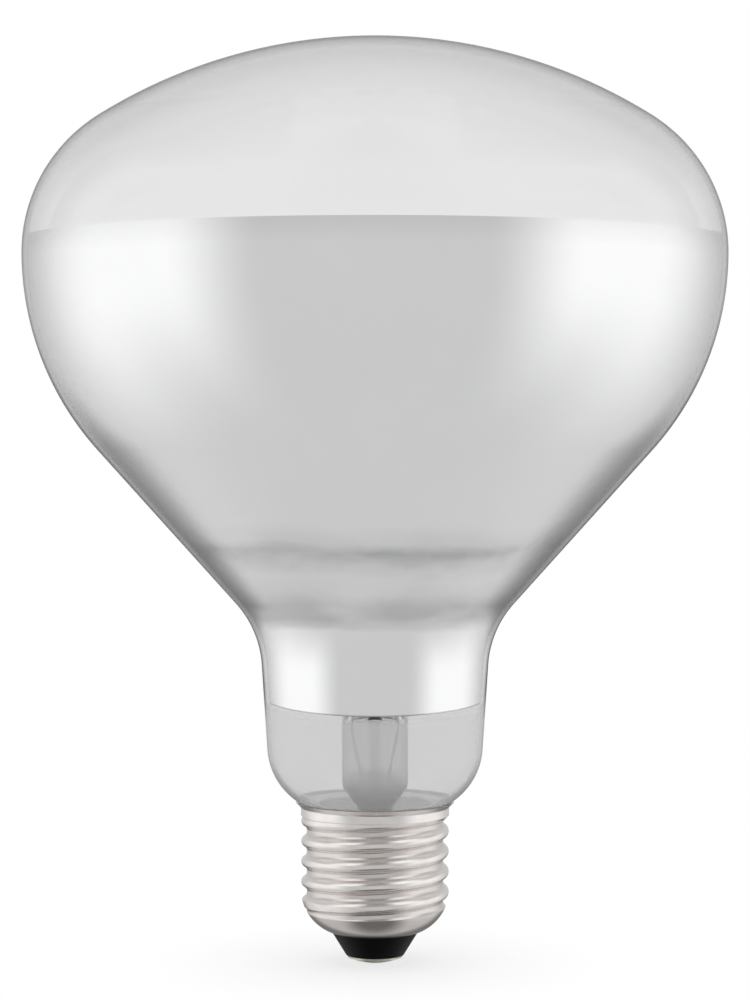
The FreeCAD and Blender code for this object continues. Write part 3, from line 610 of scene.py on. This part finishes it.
def plain_metal(name, dark, light, rough, scale=800.0):
    shader = Shader(name)
    shader.give("Metallic", 1.0)
    shader.give("Base Color", shader.mottle(scale, dark, light, 5.0))
    shader.give("Roughness", shader.mottle(scale * 0.7, rough * 0.8, rough * 1.2))
    shader.bump(shader.noise(scale), 0.12, 0.05)
    return shader.material


def cement():
    shader = Shader("basing_cement")
    shader.give("Roughness", 0.85)
    shader.give("Base Color", shader.mottle(1500.0, (0.66, 0.64, 0.58), (0.82, 0.8, 0.74)))
    shader.bump(shader.noise(2500.0), 0.5, 0.1)
    return shader.material


# Pieces

def build_envelope(outside, inside, sealed):
    outer = bulb_line(0.0)
    inner = bulb_line(GLASS_WALL)
    piece = turned("envelope", outer + inner[::-1])
    dress(piece, "glass_envelope", outside)
    piece.data.materials.append(inside)
    piece.data.materials.append(sealed)
    outer_faces = (len(outer) - 1) * SEGMENTS
    for face in piece.data.polygons:
        if face.center.z < FOOT_HEIGHT * MM:
            face.material_index = 2
        elif face.index >= outer_faces:
            face.material_index = 1


def build_film(material):
    outer = clipped(bulb_line(GLASS_WALL + FILM_GAP), FILM_BOTTOM, FILM_TOP)
    inner = clipped(bulb_line(GLASS_WALL + FILM_GAP + FILM_THICKNESS), FILM_BOTTOM, FILM_TOP)
    piece = turned("film", outer + inner[::-1], place=film_point, segments=2 * SEGMENTS)
    dress(piece, "reflector_coating", material)


def film_point(r, z, turn):
    """The film's lower edge runs a little askew in the neck, lowest at the front."""
    share = max(0.0, (FILM_LEVEL_FROM - z) / (FILM_LEVEL_FROM - FILM_BOTTOM))
    lift = share * r * math.sin(turn) * FILM_SLOPE
    return round_point(r + lift * math.tan(math.radians(NECK_TAPER)), z + lift, turn)


def build_stem(clear, sealed):
    """Flare, waist, tube and flattened press in one skin, with the hollow inside."""
    outer = [(FLARE_RADIUS, NECK_END_HEIGHT), (FLARE_RADIUS, NECK_END_HEIGHT + FLARE_RIM)]
    outer += [(WAIST_RADIUS + WAIST_SPREAD, WAIST_HEIGHT - WAIST_ROUND)]
    outer += arc((WAIST_RADIUS + WAIST_ROUND, WAIST_HEIGHT), WAIST_ROUND, 220, 140, 10)
    outer += arc((STEM_RADIUS - SHOULDER_ROUND, WAIST_HEIGHT + SHOULDER_RISE), SHOULDER_ROUND, -45, 0, 5)
    outer += [(STEM_RADIUS, PRESS_TOP - PRESS_ROUND)]
    outer += arc((STEM_RADIUS - PRESS_ROUND, PRESS_TOP - PRESS_ROUND), PRESS_ROUND, 0, 90, 15)
    outer += [(0.0, PRESS_TOP)]
    flare = FLARE_RADIUS - STEM_WALL
    waist = WAIST_RADIUS - STEM_WALL
    hollow = STEM_RADIUS - STEM_WALL
    shoulder = (hollow - HOLLOW_SHOULDER_ROUND, WAIST_HEIGHT + HOLLOW_SHOULDER_RISE)
    inner = [(flare, NECK_END_HEIGHT), (flare, NECK_END_HEIGHT + FLARE_RIM_INSIDE)]
    inner += [(waist, WAIST_HEIGHT - WAIST_BORE_HALF), (waist, WAIST_HEIGHT + WAIST_BORE_HALF)]
    inner += arc(shoulder, HOLLOW_SHOULDER_ROUND, -45, 0, 5)
    inner += arc((hollow - HOLLOW_ROUND, STEM_HOLLOW_TOP - HOLLOW_ROUND), HOLLOW_ROUND, 0, 90, 5)
    inner += [(0.0, STEM_HOLLOW_TOP)]
    piece = turned("stem", divided(outer, 0.8) + divided(inner, 0.8)[::-1], place=stem_point)
    dress(piece, "glass_stem", clear)
    piece.data.materials.append(sealed)
    for face in piece.data.polygons:
        if face.center.z < STEM_FOOT_HEIGHT * MM:
            face.material_index = 1


def stem_point(r, z, turn):
    """The stem is pinched flat towards its press."""
    share = min(1.0, max(0.0, (z - PINCH_FROM) / PINCH_LENGTH))
    share = share * share * (3 - 2 * share)
    keep = 1.0 - share * (1.0 - PRESS_HALF / STEM_RADIUS)
    x, y, height = round_point(r, z, turn)
    return x, y * keep, height


def build_exhaust(material):
    seal = EXHAUST_TIP + EXHAUST_TIP_LENGTH
    top = STEM_HOLLOW_TOP - EXHAUST_GAP
    outer = [(0.0, EXHAUST_TIP)]
    outer += arc((0.0, EXHAUST_TIP + EXHAUST_TIP_ROUND), EXHAUST_TIP_ROUND, -80, -20, 10)
    outer += [(EXHAUST_RADIUS, seal), (EXHAUST_RADIUS, top - EXHAUST_MOUTH_LENGTH), (EXHAUST_MOUTH, top)]
    inner = [(0.0, seal), (EXHAUST_BORE, seal + EXHAUST_TIP_ROUND), (EXHAUST_BORE, top)]
    piece = turned("exhaust", divided(outer, 1.0) + divided(inner, 1.0)[::-1])
    dress(piece, "exhaust_tube", material)


def build_rod(material):
    foot = PRESS_TOP + ROD_GAP
    line = [(0.0, foot), (ROD_RADIUS, foot), (ROD_RADIUS, BUTTON_HEIGHT - BUTTON_HALF - BUTTON_NECK)]
    line += arc((BUTTON_RADIUS - BUTTON_INSET, BUTTON_HEIGHT), BUTTON_ROUND, -75, 75, 8)
    line += [(0.0, BUTTON_HEIGHT + BUTTON_HALF)]
    piece = turned("rod", divided(line, 1.0), closed=False)
    dress(piece, "support_rod", material)


def build_filament(material):
    """The wreath's coil, one turn after another round its ring."""
    steps = FILAMENT_TURNS * STEPS_PER_TURN
    start = math.radians(90 - FILAMENT_SWEEP / 2)
    sweep = math.radians(FILAMENT_SWEEP)
    coil = FILAMENT_COIL - FILAMENT_WIRE
    path = []
    for i in range(steps + 1):
        bearing = start + sweep * i / steps
        turn = 2 * math.pi * i / STEPS_PER_TURN
        reach = FILAMENT_RING + coil * math.cos(turn)
        height = FILAMENT_HEIGHT + coil * math.sin(turn)
        path.append(Vector(round_point(reach, height, bearing)))
    piece = round_wire("filament_coil", path, FILAMENT_WIRE, WIRE_SIDES)
    dress(piece, "filament", material)


# Studio

def build_world():
    """Plain white light, and the studio that the mirror and the metal show."""
    world = bpy.data.worlds.new("studio")
    bpy.context.scene.world = world
    world.use_nodes = True
    wiring = Wiring(world.node_tree)
    wiring.nodes.clear()
    output = wiring.add("OutputWorld")
    background = wiring.add("Background")
    wiring.links.new(background.outputs["Background"], output.inputs["Surface"])
    calc = wiring.calc
    step = wiring.step
    place = wiring.add("TexCoord").outputs["Generated"]
    height = wiring.measure("DOT_PRODUCT", place, (0, 0, 1))
    front = wiring.measure("DOT_PRODUCT", place, (0, -1, 0))
    side = wiring.measure("DOT_PRODUCT", place, (1, 0, 0))
    bearing = calc("ARCTAN2", calc("ABSOLUTE", side), front)
    # A tall soft box on each side, weaker towards the floor
    box = calc("MULTIPLY", step(bearing, *BOX_NEAR, 0, 1), step(bearing, *BOX_FAR, 1, 0))
    box = calc("MULTIPLY", box, step(height, *BOX_FOOT, 0, 1))
    room = calc("ADD", calc("MULTIPLY", box, BOX_LEVEL - ROOM_LEVEL), ROOM_LEVEL)
    # The low part of the room behind the lamp is darker
    nearness = wiring.measure("DOT_PRODUCT", place, DARK_AIM)
    dark = calc("MULTIPLY", step(nearness, *DARK_REACH, 0, 1), step(height, *DARK_TOP, 1, 0))
    room = wiring.towards(room, DARK_LEVEL, dark)
    # The upper room, which the flanks of the thread see: darker in front, with wider boxes
    high = calc("ADD", HIGH_LEVEL, step(bearing, *HIGH_NEAR, 0, HIGH_BOX_LEVEL - HIGH_LEVEL))
    high = calc("SUBTRACT", high, step(bearing, *HIGH_FAR, 0, HIGH_BOX_LEVEL - HIGH_SIDE_LEVEL))
    room = wiring.towards(room, high, step(height, *HIGH_FROM, 0, 1))
    # Only what is mirrored shows the room. The camera, matt surfaces and clear glass have plain white.
    unmirrored = calc("LESS_THAN", wiring.rays("Glossy Depth"), 0.5)
    through = calc("MULTIPLY", wiring.rays("Is Transmission Ray"), unmirrored)
    plain = calc("MAXIMUM", wiring.rays("Is Camera Ray"), wiring.rays("Is Diffuse Ray"))
    plain = calc("MAXIMUM", plain, through)
    wiring.links.new(wiring.towards(room, 1.0, plain), background.inputs["Strength"])
    background.inputs["Color"].default_value = rgba(1.0)


def build_floor():
    """A pale round of floor with the lamp's shadow, which turns into the white of the room."""
    rings = [(0.0, 0.0)] + [(FLOOR_FIRST_RING * FLOOR_RING_GROWTH**i, 0.0) for i in range(FLOOR_RINGS)]
    floor = turned("floor", rings, closed=False)
    floor.location.z = -FLOOR_DROP * MM
    floor.data.materials.append(pale_floor())


def pale_floor():
    """The camera sees the shadow fade into white. Other rays pass, and reflections find the painted shade
    spot, a dark patch that the cap mirrors.
    """
    material = bpy.data.materials.new("pale_floor")
    material.use_nodes = True
    wiring = Wiring(material.node_tree)
    wiring.nodes.clear()
    output = wiring.add("OutputMaterial")
    matt = wiring.add("BsdfDiffuse")
    matt.inputs["Color"].default_value = rgba(0.95)
    white = wiring.add("Emission")
    dark = wiring.add("Emission")
    dark.inputs["Strength"].default_value = SHADE_SPOT_LEVEL
    clear = wiring.add("BsdfTransparent")
    place = wiring.add("TexCoord").outputs["Object"]

    def fade(distance, reach, start, end):
        return wiring.step(distance, reach[0] * MM, reach[1] * MM, start, end)

    from_axis = wiring.measure("LENGTH", place)
    from_shade_spot = wiring.measure("DISTANCE", place, Vector(SHADE_SPOT_PLACE) * MM)
    lightness = fade(from_axis, SHADOW_REACH, 1.0 - SHADOW_SHARE, 1.0)
    shadow = wiring.blend(lightness, matt.outputs["BSDF"], white.outputs["Emission"])
    # Painted shade: a dark patch before the cap, seen only in reflections
    shade_spot_seen = wiring.calc("MULTIPLY", fade(from_shade_spot, SHADE_SPOT_REACH, 1.0, 0.0), wiring.rays("Is Reflection Ray"))
    shade_spot = wiring.blend(shade_spot_seen, clear.outputs["BSDF"], dark.outputs["Emission"])
    wiring.links.new(wiring.blend(wiring.rays("Is Camera Ray"), shade_spot, shadow), output.inputs["Surface"])
    return material


def build_camera():
    data = bpy.data.cameras.new("camera")
    camera = bpy.data.objects.new("camera", data)
    bpy.context.scene.collection.objects.link(camera)
    data.sensor_fit = "VERTICAL"
    data.sensor_height = SENSOR_HEIGHT
    data.lens = SENSOR_HEIGHT * EYE_DISTANCE / FRAME_HEIGHT
    camera.location = Vector((0, -EYE_DISTANCE, EYE_HEIGHT)) * MM
    aim = Vector((0, 0, AIM_HEIGHT)) * MM - camera.location
    camera.rotation_euler = aim.to_track_quat("-Z", "Y").to_euler()
    data.clip_start = 0.01
    bpy.context.scene.camera = camera


def main():
    sealed = sealed_glass()
    tube = tube_glass()
    outside = envelope_glass("envelope_outside", True)
    inside = envelope_glass("envelope_inside", False)
    build_envelope(outside, inside, sealed)
    build_film(mirror_film())
    build_stem(stem_glass(), sealed)
    build_exhaust(tube)
    build_rod(tube)
    build_filament(plain_metal("tungsten", (0.12, 0.12, 0.13), (0.22, 0.22, 0.23), 0.4, 2500.0))
    contact = plain_metal("contact_plate", (0.42, 0.39, 0.33), (0.6, 0.56, 0.48), 0.4)
    solder = plain_metal("solder", (0.40, 0.40, 0.41), (0.58, 0.58, 0.58), 0.35, 500.0)
    lead = plain_metal("lead_wire", (0.78, 0.78, 0.77), (0.88, 0.88, 0.87), 0.3)
    finish_node("screw_shell", nickel())
    finish_node("insulator", black_glass())
    finish_node("centre_contact", contact)
    finish_node("contact_solder", solder)
    finish_node("basing_cement", cement())
    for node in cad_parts:
        if "lead" in node or node.startswith("filament_support"):
            finish_node(node, lead)
    build_world()
    build_floor()
    build_camera()
    bpy.context.scene.view_settings.view_transform = "Standard"


main()
